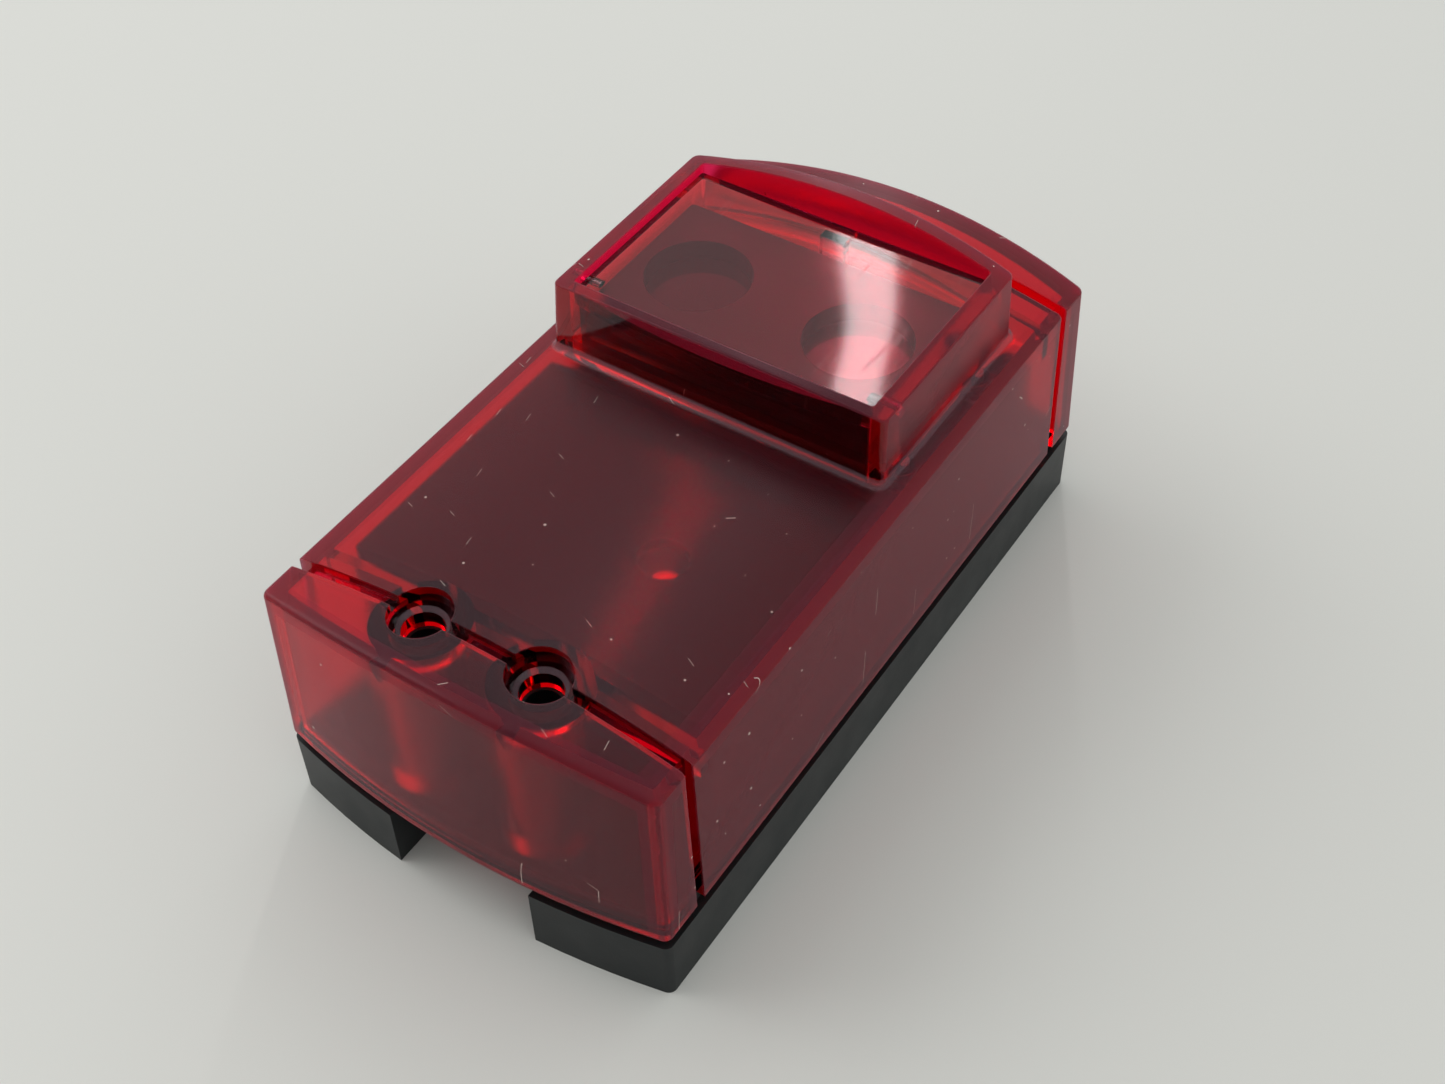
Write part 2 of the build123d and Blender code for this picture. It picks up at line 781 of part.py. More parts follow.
def make_microswitch_body():
    half = switch_width / 2
    body = box_between(-half, half, switch_front, switch_front + switch_length, switch_bottom, switch_top)
    body = fillet(body.edges().filter_by(Axis.Z), switch_corner_radius)
    for share in switch_hole_shares:
        y = switch_front + switch_length * share
        body -= cross_rod(-half - 1, half + 1, y, switch_bottom + switch_hole, switch_hole)
    ear_front = lever_pivot_y - ear_half_length
    ear_back = lever_pivot_y + ear_half_length
    for side in (-1, 1):
        inner = side * (lever_width / 2 + ear_clearance)
        outer = inner + side * ear_thickness
        ear_root = switch_top - root / 2
        body += box_between(inner, outer, ear_front, ear_back, ear_root, lever_pivot_z + ear_rise)
    body -= cross_rod(-half - 1, half + 1, lever_pivot_y, lever_pivot_z, lever_pin_diameter)
    bore_bottom = switch_top + button_rise - button_length - button_travel - button_bore_spare
    bore = button_diameter + 2 * button_clearance
    body -= rod(0, lever_pivot_y + button_from_pivot, bore_bottom, switch_top + 1, bore)
    return body


def make_lever_pin():
    half = lever_width / 2 + ear_clearance + ear_thickness
    return cross_rod(-half, half, lever_pivot_y, lever_pivot_z, lever_pin_diameter)


def make_microswitch_lever():
    half = lever_width / 2
    strip = box_between(-half, half, 0, lever_length, -lever_thickness / 2, lever_thickness / 2)
    lever = strip + cross_rod(-half, half, 0, 0, lever_barrel)
    lever -= cross_rod(-half - 1, half + 1, 0, 0, lever_pin_diameter + 2 * lever_pin_clearance)
    return Pos(0, lever_pivot_y, lever_pivot_z) * Rot(lever_rest_angle, 0, 0) * lever


def make_microswitch_button():
    top = switch_top + button_rise
    button = rod(0, lever_pivot_y + button_from_pivot, top - button_length, top, button_diameter)
    return fillet(button.edges().sort_by(Axis.Z)[-1], button_top_radius)


def make_microswitch_pins():
    half_width = switch_pin_width / 2
    half = switch_pin_thickness / 2
    low = board_bottom - switch_pin_below_board
    pins = []
    for y in switch_pin_places:
        pins.append(box_between(-half_width, half_width, y - half, y + half, low, switch_bottom))
    return Compound(children=pins)


def make_return_spring(side):
    low = shelf_top + spring_gap + spring_wire_radius
    high = foot_bottom - spring_gap - spring_wire_radius
    path = Helix(pitch=(high - low) / spring_turns, height=high - low, radius=spring_mean_radius)
    start = path @ 0
    section = Plane(origin=start, z_dir=path % 0) * Circle(spring_wire_radius)
    coil = sweep(section, path=path, is_frenet=True)
    return Pos(side * spring_half_spacing, spring_y, low) * coil


def make_terminal_block():
    front = terminal_from_origin - terminal_depth / 2
    back = terminal_from_origin + terminal_depth / 2
    top = board_top + terminal_height
    half = terminal_width / 2
    block = box_between(-half, half, front, back, board_top, top)
    block = chamfer(block.edges().filter_by(Axis.X).sort_by(Axis.Z)[-2:], terminal_top_chamfer)
    port_back = front + wire_port_depth
    port_low = board_top + wire_port_bottom
    port_high = port_low + wire_port_height
    half_port = wire_port_width / 2
    for x in pole_places:
        block -= box_between(x - half_port, x + half_port, front - 1, port_back, port_low, port_high)
        block -= rod(x, terminal_from_origin, board_top + screw_well_bottom, top + 1, screw_well)
    return block


def make_terminal_clamps():
    clamps = []
    front = terminal_from_origin - clamp_length / 2
    back = terminal_from_origin + clamp_length / 2
    low = board_top + clamp_seat
    high = low + clamp_height
    for x in pole_places:
        half = clamp_width / 2
        cage = box_between(x - half, x + half, front, back, low, high)
        inner = half - clamp_wall
        floor, roof = low + clamp_wall, high - clamp_top
        cage -= box_between(x - inner, x + inner, front - past_face, back + past_face, floor, roof)
        cage -= rod(x, terminal_from_origin, high - clamp_top - 1, high + 1, clamp_screw)
        clamps.append(cage)
    return Compound(children=clamps)


def make_terminal_screws():
    screws = []
    y = terminal_from_origin
    head_low = board_top + clamp_screw_head_bottom
    head_high = head_low + clamp_screw_head_height
    for x in pole_places:
        screw = rod(x, y, board_top + clamp_screw_bottom, head_high, clamp_screw)
        screw += rod(x, y, head_low, head_high, clamp_screw_head)
        half = clamp_slot_width / 2
        slot_floor = head_high - clamp_slot_depth
        screw -= box_between(x - 2, x + 2, y - half, y + half, slot_floor, head_high + 1)
        screws.append(screw)
    return Compound(children=screws)


def make_relay():
    can = Box(relay_width, relay_length, relay_height)
    can = Pos(relay_x, relay_y, board_top + relay_height / 2) * can
    return fillet(can.edges(), relay_edge_radius)


def make_capacitor():
    x, y = capacitor_x, capacitor_y
    can = rod(x, y, board_top, board_top + capacitor_height, capacitor_diameter)
    can = fillet(can.edges().sort_by(Axis.Z)[-1], capacitor_top_radius)
    low = board_top + capacitor_groove_bottom
    high = low + capacitor_groove_width
    neck = capacitor_diameter - 2 * capacitor_groove_depth
    return can - (rod(x, y, low, high, capacitor_diameter + 1) - rod(x, y, low, high, neck))


def make_driver_chip():
    low = board_top + chip_lift
    chip = Pos(chip_x, chip_y, low + chip_height / 2) * Box(chip_width, chip_length, chip_height)
    chip = chamfer(chip.faces().sort_by(Axis.Z)[-1].edges(), chip_chamfer)
    for row in range(chip_lead_pairs):
        y = chip_y + (row - (chip_lead_pairs - 1) / 2) * chip_lead_pitch
        lead = Box(chip_lead_span, chip_lead_width, chip_lead_height)
        chip += Pos(chip_x, y, board_top + chip_lead_height / 2) * lead
    return chip


def make_led_spacer():
    spacer = rod(led_x, led_y, board_top, led_seat, led_diameter + 2 * led_spacer_wall)
    for x in led_leg_places:
        spacer -= rod(x, led_y, board_top - 1, led_seat + 1, led_leg + led_leg_clearance)
    return spacer


def make_status_led():
    body_top = led_seat + led_body_height
    led = rod(led_x, led_y, led_seat, body_top, led_diameter)
    led += rod(led_x, led_y, led_seat, led_seat + led_rim_height, led_diameter + led_rim)
    led += Pos(led_x, led_y, body_top) * Sphere(led_diameter / 2)
    for x in led_leg_places:
        led += rod(x, led_y, board_bottom - led_leg_below_board, led_seat + root / 2, led_leg)
    return led


def make_line_resistor():
    z = board_top + resistor_lift
    half = resistor_length / 2
    body = cross_rod(resistor_x - half, resistor_x + half, resistor_y, z, resistor_diameter)
    body = fillet(body.edges(), resistor_end_radius)
    reach = (resistor_lead_spacing + resistor_lead) / 2
    body += cross_rod(resistor_x - reach, resistor_x + reach, resistor_y, z, resistor_lead)
    for side in (-1, 1):
        lead_x = resistor_x + side * resistor_lead_spacing / 2
        body += rod(lead_x, resistor_y, board_top, z, resistor_lead)
    return body


parts = {
    "base": make_base(),
    "gasket": make_gasket(),
    "cover": make_cover(),
    "press_pane": make_press_pane(),
    "pivot_pins": make_pivot_pins(),
    "well_plate": make_well_plate(),
    "well_lenses": make_well_lenses(),
    "plate_screws": make_plate_screws(),
    "shroud": make_shroud(),
    "circuit_board": make_circuit_board(),
    "board_screws": make_board_screws(),
    "switch_bracket": make_switch_bracket(),
    "bracket_screws": make_bracket_screws(),
    "microswitch_body": make_microswitch_body(),
    "microswitch_lever": make_microswitch_lever(),
    "lever_pin": make_lever_pin(),
    "microswitch_button": make_microswitch_button(),
    "microswitch_pins": make_microswitch_pins(),
    "return_spring_left": make_return_spring(-1),
    "return_spring_right": make_return_spring(1),
    "terminal_block": make_terminal_block(),
    "terminal_clamps": make_terminal_clamps(),
    "terminal_screws": make_terminal_screws(),
    "relay": make_relay(),
    "capacitor": make_capacitor(),
    "driver_chip": make_driver_chip(),
    "led_spacer": make_led_spacer(),
    "status_led": make_status_led(),
    "line_resistor": make_line_resistor(),
}

os.makedirs("parts", exist_ok=True)
for name, shape in parts.items():
    export_step(shape, f"parts/{name}.step")
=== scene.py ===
import bmesh
import bpy
import json
import math
from mathutils import Matrix, Vector


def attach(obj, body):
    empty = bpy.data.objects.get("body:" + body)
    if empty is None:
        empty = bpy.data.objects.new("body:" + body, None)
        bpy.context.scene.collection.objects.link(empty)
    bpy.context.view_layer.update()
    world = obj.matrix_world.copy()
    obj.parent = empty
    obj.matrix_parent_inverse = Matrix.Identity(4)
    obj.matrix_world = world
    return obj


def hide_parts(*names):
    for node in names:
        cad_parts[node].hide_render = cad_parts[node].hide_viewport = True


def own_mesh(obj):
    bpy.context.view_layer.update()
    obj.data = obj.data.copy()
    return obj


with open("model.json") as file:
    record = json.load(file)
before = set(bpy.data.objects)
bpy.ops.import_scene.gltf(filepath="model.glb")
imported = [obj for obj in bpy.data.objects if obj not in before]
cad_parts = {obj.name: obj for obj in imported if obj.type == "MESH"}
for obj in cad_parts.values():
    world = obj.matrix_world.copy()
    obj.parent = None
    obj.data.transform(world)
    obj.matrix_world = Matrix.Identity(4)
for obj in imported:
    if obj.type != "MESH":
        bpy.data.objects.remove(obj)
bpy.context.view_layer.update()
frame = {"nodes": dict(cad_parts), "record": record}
nodes = frame["nodes"]
mm = 0.001
print("frame loaded:", len(nodes), "nodes")


def linear(hexColour):
    # sRGB hex to the linear values that the shader wants
    parts = [int(hexColour[i:i + 2], 16) / 255 for i in (0, 2, 4)]
    return [c / 12.92 if c <= 0.04045 else ((c + 0.055) / 1.055) ** 2.4 for c in parts] + [1.0]


def addNode(tree, kind, links=None, **settings):
    # one node, its settings, and its inputs: a socket is linked, anything else is set as a value
    made = tree.nodes.new(kind)
    for name, value in settings.items():
        setattr(made, name, value)
    for key, value in (links or {}).items():
        if isinstance(value, bpy.types.NodeSocket):
            tree.links.new(value, made.inputs[key])
        else:
            made.inputs[key].default_value = value
    return made


def newMaterial(name):
    material = bpy.data.materials.new(name)
    material.use_nodes = True
    tree = material.node_tree
    tree.nodes.clear()
    place = addNode(tree, "ShaderNodeTexCoord").outputs["Object"]
    return material, tree, place


def finishMaterial(tree, shader, volume=None):
    out = addNode(tree, "ShaderNodeOutputMaterial", {"Surface": shader.outputs[0]})
    if volume:
        tree.links.new(volume.outputs[0], out.inputs["Volume"])


rubyCover = {
    "tint": "fff2f4",
    "ior": 1.44,
    "frostRoughness": 0.33,
    "seeThrough": 0.25,
    "sheenColour": "f8e2ea",
    "bodyColour": "a00c46",
    "glowColour": "f6c4cc",
    "glowPart": 0.6,
    # the larger scatter shares on the sides, ends and edge-on walls are painted light, for light carried through the
    # walls
    "topShare": 0.08,
    "endLitShare": 0.10,
    "sideLitShare": 0.22,
    "edgeLitShare": 0.30,
    # pale diffuse colour: chalky roughness on the hole rings, painted sheen on the hood's foot fillet
    "chalkAndSheenColour": "86707a",
    "ringChalk": 0.4,
    "footPaintedSheen": 0.22,
    "wear": 14 * mm,
    "wearSmooths": 0.03,
    "wearRoughens": 0.05,
    "polishRoughness": 0.04,
    "grain": 0.45 * mm,
    "grainDepth": 0.006 * mm,
    "wall": 2.7 * mm,
    "absorbColour": (0.982, 0.0, 0.46, 1.0),
    "absorbDensity": 1350.0,
    # the outside's places: crowned top, drafted sides and ends, hood
    "topHeight": 44.232 * mm,
    "topRadius": 137.2 * mm,
    "sideAtSeam": 32.0 * mm,
    "sideSlope": 0.0263,
    "endAtSeam": 60.15 * mm,
    "endSlope": 0.0511,
    "endRadius": 152.0 * mm,
    "seam": 12.7 * mm,
    "hoodHeight": 55.5 * mm,
    "hoodRadius": 137.5 * mm,
    "hoodSide": 27.5 * mm,
    "hoodSideSlope": 0.0289,
    "hoodBack": 41.8 * mm,
    "hoodBackSlope": 0.021,
    "hoodBackRadius": 168.0 * mm,
    "hoodFoot": 38.0 * mm,
    "skin": 0.3 * mm,
    "endSkin": 0.55 * mm,
    "filletRise": 1.15 * mm,
    "filletStart": 0.1 * mm,
    "holeX": 9.4 * mm,
    "holeY": -49.1 * mm,
    "ringInner": 2.92 * mm,
    "ringOuter": 3.5 * mm,
    "ringLow": 40.4 * mm,
    "ringHigh": 41.35 * mm,
    "filletFront": -2.0 * mm,
}


dustOnCover = {
    "speck": 2.6 * mm,
    "speckSize": 0.045,
    "speckChance": 0.3,
    "fibre": 5.5 * mm,
    "fibreBend": 0.3 * mm,
    "fibreLength": 1.3 * mm,
    "fibreWidth": 0.028 * mm,
    "fibreChance": 0.05,
    "fibreBends": 2.5 * mm,
    "fibreTurns": (0.4, 1.5, 2.6),
    "colour": "c9b8ae",
    "roughness": 0.9,
}


def dustMask(tree, place, calc):
    # a few specks of dust, and short fibres that lie every way
    spec = dustOnCover
    cells = addNode(tree, "ShaderNodeTexVoronoi", {"Vector": place, "Scale": 1 / spec["speck"]})
    chance = addNode(tree, "ShaderNodeSeparateColor", {0: cells.outputs["Color"]})
    small = calc("LESS_THAN", cells.outputs["Distance"], calc("MULTIPLY", chance.outputs[1], 2 * spec["speckSize"]))
    mask = calc("MULTIPLY", small, calc("LESS_THAN", chance.outputs[0], spec["speckChance"]))
    for turn in spec["fibreTurns"]:
        turned = addNode(
            tree, "ShaderNodeMapping",
            {"Vector": place, "Rotation": (0.3 * turn, 0.2 * turn, turn), "Location": (turn, 2 * turn, 0.0)},
        )
        bend = addNode(tree, "ShaderNodeTexNoise", {"Vector": turned.outputs[0], "Scale": 1 / spec["fibreBends"]})
        bent = addNode(
            tree, "ShaderNodeVectorMath",
            {0: bend.outputs["Color"], 1: (spec["fibreBend"],) * 3, 2: turned.outputs[0]}, operation="MULTIPLY_ADD",
        )
        hairs = addNode(tree, "ShaderNodeTexVoronoi", {"Vector": bent.outputs[0], "Scale": 1 / spec["fibre"]})
        offset = addNode(
            tree, "ShaderNodeVectorMath", {0: bent.outputs[0], 1: hairs.outputs["Position"]}, operation="SUBTRACT"
        )
        along = addNode(tree, "ShaderNodeSeparateXYZ", {0: offset.outputs[0]})
        thin = calc("LESS_THAN", calc("ABSOLUTE", along.outputs[1]), spec["fibreWidth"])
        short = calc("LESS_THAN", calc("ABSOLUTE", along.outputs[0]), spec["fibreLength"] / 2)
        hairChance = addNode(tree, "ShaderNodeSeparateColor", {0: hairs.outputs["Color"]}).outputs[0]
        picked = calc("LESS_THAN", hairChance, spec["fibreChance"])
        mask = calc("MAXIMUM", mask, calc("MULTIPLY", picked, calc("MULTIPLY", thin, short)))
    return mask


def makeRubyCover():
    # Polycarbonate, injection moulded. The outside comes from a spark-eroded tool face, so it looks frosted, with a
    # broad soft sheen; the hood's front, the grooves, the holes and the inside are polished and look wet and dark.
    spec = rubyCover
    material, tree, place = newMaterial("polycarbonate_ruby_spark_eroded")

    def calc(operation, first, second=0.0, third=0.0):
        return addNode(tree, "ShaderNodeMath", {0: first, 1: second, 2: third}, operation=operation).outputs[0]

    xyz = addNode(tree, "ShaderNodeSeparateXYZ", {0: place})
    x = calc("ABSOLUTE", xyz.outputs[0])
    y = xyz.outputs[1]
    z = xyz.outputs[2]
    xx = calc("MULTIPLY", x, x)
    skin = spec["skin"]
    aboveSeam = calc("SUBTRACT", z, spec["seam"])
    aboveFoot = calc("SUBTRACT", z, spec["hoodFoot"])
    # how far a point lies above the crowned top, and inside or outside each wall
    overTop = calc("MULTIPLY_ADD", xx, 0.5 / spec["topRadius"], calc("SUBTRACT", z, spec["topHeight"]))
    overHood = calc("MULTIPLY_ADD", xx, 0.5 / spec["hoodRadius"], calc("SUBTRACT", z, spec["hoodHeight"]))
    overSide = calc("MULTIPLY_ADD", aboveSeam, spec["sideSlope"], calc("SUBTRACT", x, spec["sideAtSeam"]))
    pastEnd = calc("SUBTRACT", calc("ABSOLUTE", y), spec["endAtSeam"])
    endArc = calc("MULTIPLY_ADD", xx, 0.5 / spec["endRadius"], pastEnd)
    overEnd = calc("MULTIPLY_ADD", aboveSeam, spec["endSlope"], endArc)
    overHoodSide = calc("MULTIPLY_ADD", aboveFoot, spec["hoodSideSlope"], calc("SUBTRACT", x, spec["hoodSide"]))
    hoodArc = calc("MULTIPLY_ADD", xx, 0.5 / spec["hoodBackRadius"], calc("SUBTRACT", y, spec["hoodBack"]))
    overHoodBack = calc("MULTIPLY_ADD", aboveFoot, spec["hoodBackSlope"], hoodArc)
    aboveTop = calc("GREATER_THAN", overTop, -skin)
    onTop = calc("MULTIPLY", aboveTop, calc("LESS_THAN", overTop, spec["filletRise"]))
    onHoodWall = calc("MAXIMUM", calc("GREATER_THAN", overHoodSide, -skin), calc("GREATER_THAN", overHoodBack, -skin))
    frosted = calc("MAXIMUM", onTop, calc("MULTIPLY", aboveTop, onHoodWall))
    frosted = calc("MAXIMUM", frosted, calc("GREATER_THAN", overHood, -skin))
    frosted = calc("MAXIMUM", frosted, calc("GREATER_THAN", overSide, -skin))
    frosted = calc("MAXIMUM", frosted, calc("GREATER_THAN", overEnd, -spec["endSkin"]))
    # the turned ring round each fixing hole is rough too
    offX = calc("SUBTRACT", x, spec["holeX"])
    offY = calc("SUBTRACT", y, spec["holeY"])
    fromHole = calc("SQRT", calc("ADD", calc("MULTIPLY", offX, offX), calc("MULTIPLY", offY, offY)))
    outOfBore = calc("GREATER_THAN", fromHole, spec["ringInner"])
    ring = calc("MULTIPLY", outOfBore, calc("LESS_THAN", fromHole, spec["ringOuter"]))
    ring = calc("MULTIPLY", ring, calc("GREATER_THAN", z, spec["ringLow"]))
    ring = calc("MULTIPLY", ring, calc("LESS_THAN", z, spec["ringHigh"]))
    # the fillet at the hood's foot gets the same pale diffuse mix: painted sheen, standing in for the lighter
    # reflection it shows
    foot = calc("MULTIPLY", onTop, calc("GREATER_THAN", overTop, spec["filletStart"]))
    foot = calc("MULTIPLY", foot, calc("GREATER_THAN", y, spec["filletFront"]))
    chalkAndSheen = calc("MAXIMUM", calc("MULTIPLY", ring, spec["ringChalk"]), calc("MULTIPLY", foot, spec["footPaintedSheen"]))
    # the sides, the ends and where a wall stands edge-on under the frosting get a larger share of diffuse red scatter
    # than the top: painted light, standing in for light carried through the walls and out of them; count the walls
    # that a point lies in
    wall = spec["wall"]
    inTop = calc("GREATER_THAN", overTop, -wall)
    inSide = calc("GREATER_THAN", overSide, -wall)
    inEnd = calc("GREATER_THAN", overEnd, -wall)
    walls = calc("ADD", calc("ADD", inTop, inSide), inEnd)
    edgeOn = calc("MAXIMUM", calc("GREATER_THAN", walls, 1.5), calc("GREATER_THAN", overHood, -skin))
    onSide = calc("MAXIMUM", calc("GREATER_THAN", overSide, -skin), calc("MULTIPLY", onHoodWall, aboveTop))
    share = addNode(tree, "ShaderNodeMapRange", {0: inEnd, 3: spec["topShare"], 4: spec["endLitShare"]}).outputs[0]
    share = addNode(tree, "ShaderNodeMix", {0: onSide, 2: share, 3: spec["sideLitShare"]}).outputs[0]
    share = addNode(tree, "ShaderNodeMix", {0: edgeOn, 2: share, 3: spec["edgeLitShare"]}).outputs[0]
    share = calc("MULTIPLY", share, frosted)
    # handling marks vary the frosting slightly
    wear = addNode(
        tree, "ShaderNodeTexNoise",
        {"Vector": place, "Scale": 1 / spec["wear"], "Detail": 4.0, "Roughness": 0.6},
    )
    frostRough = addNode(
        tree, "ShaderNodeMapRange",
        {0: wear.outputs[0], 1: 0.3, 2: 0.7, 3: spec["frostRoughness"] - spec["wearSmooths"],
         4: spec["frostRoughness"] + spec["wearRoughens"]},
    ).outputs[0]
    rough = addNode(tree, "ShaderNodeMix", {0: frosted, 2: spec["polishRoughness"], 3: frostRough}).outputs[0]
    grain = addNode(tree, "ShaderNodeTexNoise", {"Vector": place, "Scale": 1 / spec["grain"], "Detail": 2.0})
    height = calc("MULTIPLY", grain.outputs[0], frosted)
    bump = addNode(tree, "ShaderNodeBump", {"Strength": 1.0, "Distance": spec["grainDepth"], "Height": height})
    # light passing through is spread less than light thrown back, so what lies just under the skin stays readable
    clear = addNode(tree, "ShaderNodeMix", {0: frosted, 2: spec["polishRoughness"], 3: spec["seeThrough"]}).outputs[0]
    through = addNode(
        tree, "ShaderNodeBsdfRefraction",
        {"Color": linear(spec["tint"]), "Roughness": clear, "IOR": spec["ior"], "Normal": bump.outputs[0]},
    )
    sheen = addNode(
        tree, "ShaderNodeBsdfAnisotropic",
        {"Color": linear(spec["sheenColour"]), "Roughness": rough, "Normal": bump.outputs[0]},
    )
    fresnel = addNode(tree, "ShaderNodeFresnel", {"IOR": spec["ior"], "Normal": bump.outputs[0]})
    shader = addNode(tree, "ShaderNodeMixShader", {0: fresnel.outputs[0], 1: through.outputs[0], 2: sheen.outputs[0]})
    scatter = addNode(
        tree, "ShaderNodeBsdfPrincipled",
        {"Base Color": linear(spec["bodyColour"]), "Roughness": rough, "IOR": spec["ior"], "Normal": bump.outputs[0]},
    )
    glow = addNode(tree, "ShaderNodeBsdfTranslucent", {"Color": linear(spec["glowColour"])})
    inner = addNode(tree, "ShaderNodeMixShader", {0: spec["glowPart"], 1: scatter.outputs[0], 2: glow.outputs[0]})
    body = addNode(tree, "ShaderNodeMixShader", {0: share, 1: shader.outputs[0], 2: inner.outputs[0]})
    # pale diffuse mix: chalk on the hole rings, painted sheen on the foot fillet
    chalkAndSheenShader = addNode(
        tree, "ShaderNodeBsdfPrincipled", {"Base Color": linear(spec["chalkAndSheenColour"]), "Roughness": 0.6}
    )
    surface = addNode(tree, "ShaderNodeMixShader", {0: chalkAndSheen, 1: body.outputs[0], 2: chalkAndSheenShader.outputs[0]})
    dust = calc("MULTIPLY", dustMask(tree, place, calc), frosted)
    lint = addNode(
        tree, "ShaderNodeBsdfPrincipled",
        {"Base Color": linear(dustOnCover["colour"]), "Roughness": dustOnCover["roughness"]},
    )
    surface = addNode(tree, "ShaderNodeMixShader", {0: dust, 1: surface.outputs[0], 2: lint.outputs[0]})
    volume = addNode(
        tree, "ShaderNodeVolumeAbsorption", {"Color": spec["absorbColour"], "Density": spec["absorbDensity"]}
    )
    finishMaterial(tree, surface, volume)
    return material


rubyPane = {
    "ior": 1.49,
    "scuffTurn": 0.5,
    "scuffScale": (900.0, 60.0, 1.0),
    "tint": "fff6f6",
    "roughness": 0.055,
    "scuffed": 0.2,
    "wave": 24.0 * mm,
    "waveDepth": 0.16 * mm,
    "absorbColour": (0.98, 0.0, 0.3, 1.0),
    "absorbDensity": 600.0,
}


def makeRubyPane():
    # Cast acrylic, flame polished: clear and slightly wavy, with a few hairline scuffs from fingers.
    spec = rubyPane
    material, tree, place = newMaterial("acrylic_ruby_polished")
    stretched = addNode(
        tree, "ShaderNodeMapping",
        {"Vector": place, "Rotation": (0, 0, spec["scuffTurn"]), "Scale": spec["scuffScale"]},
    )
    scuff = addNode(tree, "ShaderNodeTexNoise", {"Vector": stretched.outputs[0], "Scale": 1.0, "Detail": 3.0})
    rough = addNode(
        tree, "ShaderNodeMapRange",
        {0: scuff.outputs[0], 1: 0.62, 2: 0.75, 3: spec["roughness"], 4: spec["scuffed"]},
    ).outputs[0]
    wave = addNode(tree, "ShaderNodeTexNoise", {"Vector": place, "Scale": 1 / spec["wave"], "Detail": 0.0})
    warp = addNode(
        tree, "ShaderNodeBump", {"Strength": 1.0, "Distance": spec["waveDepth"], "Height": wave.outputs[0]}
    )
    shader = addNode(
        tree, "ShaderNodeBsdfPrincipled",
        {"Base Color": linear(spec["tint"]), "Roughness": rough, "IOR": spec["ior"], "Transmission Weight": 1.0,
         "Normal": warp.outputs[0]},
    )
    volume = addNode(
        tree, "ShaderNodeVolumeAbsorption", {"Color": spec["absorbColour"], "Density": spec["absorbDensity"]}
    )
    finishMaterial(tree, shader, volume)
    return material


def makeMouldedPlastic(name, colour, light, roughness, grain, depth, specular=0.5):
    # thermoplastic from a textured tool: one colour, a fine grain that breaks up highlights, faint flow variation
    material, tree, place = newMaterial(name)
    flow = addNode(tree, "ShaderNodeTexNoise", {"Vector": place, "Scale": 1 / (9 * mm), "Detail": 5.0})
    tone = addNode(
        tree, "ShaderNodeMix", {0: flow.outputs[0], 6: linear(colour), 7: linear(light)}, data_type="RGBA"
    ).outputs[2]
    rough = addNode(
        tree, "ShaderNodeMapRange", {0: flow.outputs[0], 1: 0.3, 2: 0.7, 3: roughness - 0.05, 4: roughness + 0.06}
    ).outputs[0]
    pits = addNode(tree, "ShaderNodeTexNoise", {"Vector": place, "Scale": 1 / grain, "Detail": 2.0})
    bump = addNode(
        tree, "ShaderNodeBump", {"Strength": 0.5, "Distance": depth, "Height": pits.outputs[0]}
    )
    shader = addNode(
        tree, "ShaderNodeBsdfPrincipled",
        {"Base Color": tone, "Roughness": rough, "IOR": 1.54, "Specular IOR Level": specular,
         "Normal": bump.outputs[0]},
    )
    finishMaterial(tree, shader)
    return material


def makeMetal(name, colour, roughness, scratch, along=(1.0, 1.0, 12.0)):
    # turned or drawn metal: fine tool marks along one direction, which stretch the highlights
    material, tree, place = newMaterial(name)
    lines = addNode(tree, "ShaderNodeMapping", {"Vector": place, "Scale": along})
    marks = addNode(tree, "ShaderNodeTexNoise", {"Vector": lines.outputs[0], "Scale": 1 / (0.5 * mm), "Detail": 3.0})
    rough = addNode(
        tree, "ShaderNodeMapRange", {0: marks.outputs[0], 1: 0.3, 2: 0.7, 3: roughness - 0.07, 4: roughness + 0.1}
    ).outputs[0]
    bump = addNode(tree, "ShaderNodeBump", {"Strength": scratch, "Distance": 0.02 * mm, "Height": marks.outputs[0]})
    shader = addNode(
        tree, "ShaderNodeBsdfPrincipled",
        {"Base Color": linear(colour), "Metallic": 1.0, "Roughness": rough, "Normal": bump.outputs[0]},
    )
    finishMaterial(tree, shader)
    return material


def makeLampEpoxy():
    # cast red epoxy of the lamp, clear enough to see its leads
    material, tree, place = newMaterial("epoxy_red_cast")
    swirl = addNode(tree, "ShaderNodeTexNoise", {"Vector": place, "Scale": 1 / (3 * mm)})
    rough = addNode(tree, "ShaderNodeMapRange", {0: swirl.outputs[0], 3: 0.08, 4: 0.16}).outputs[0]
    shader = addNode(
        tree, "ShaderNodeBsdfPrincipled",
        {"Base Color": linear("e0241c"), "Roughness": rough, "IOR": 1.53, "Transmission Weight": 0.6,
         "Emission Color": linear("ff3018"), "Emission Strength": 0.3},
    )
    finishMaterial(tree, shader)
    return material


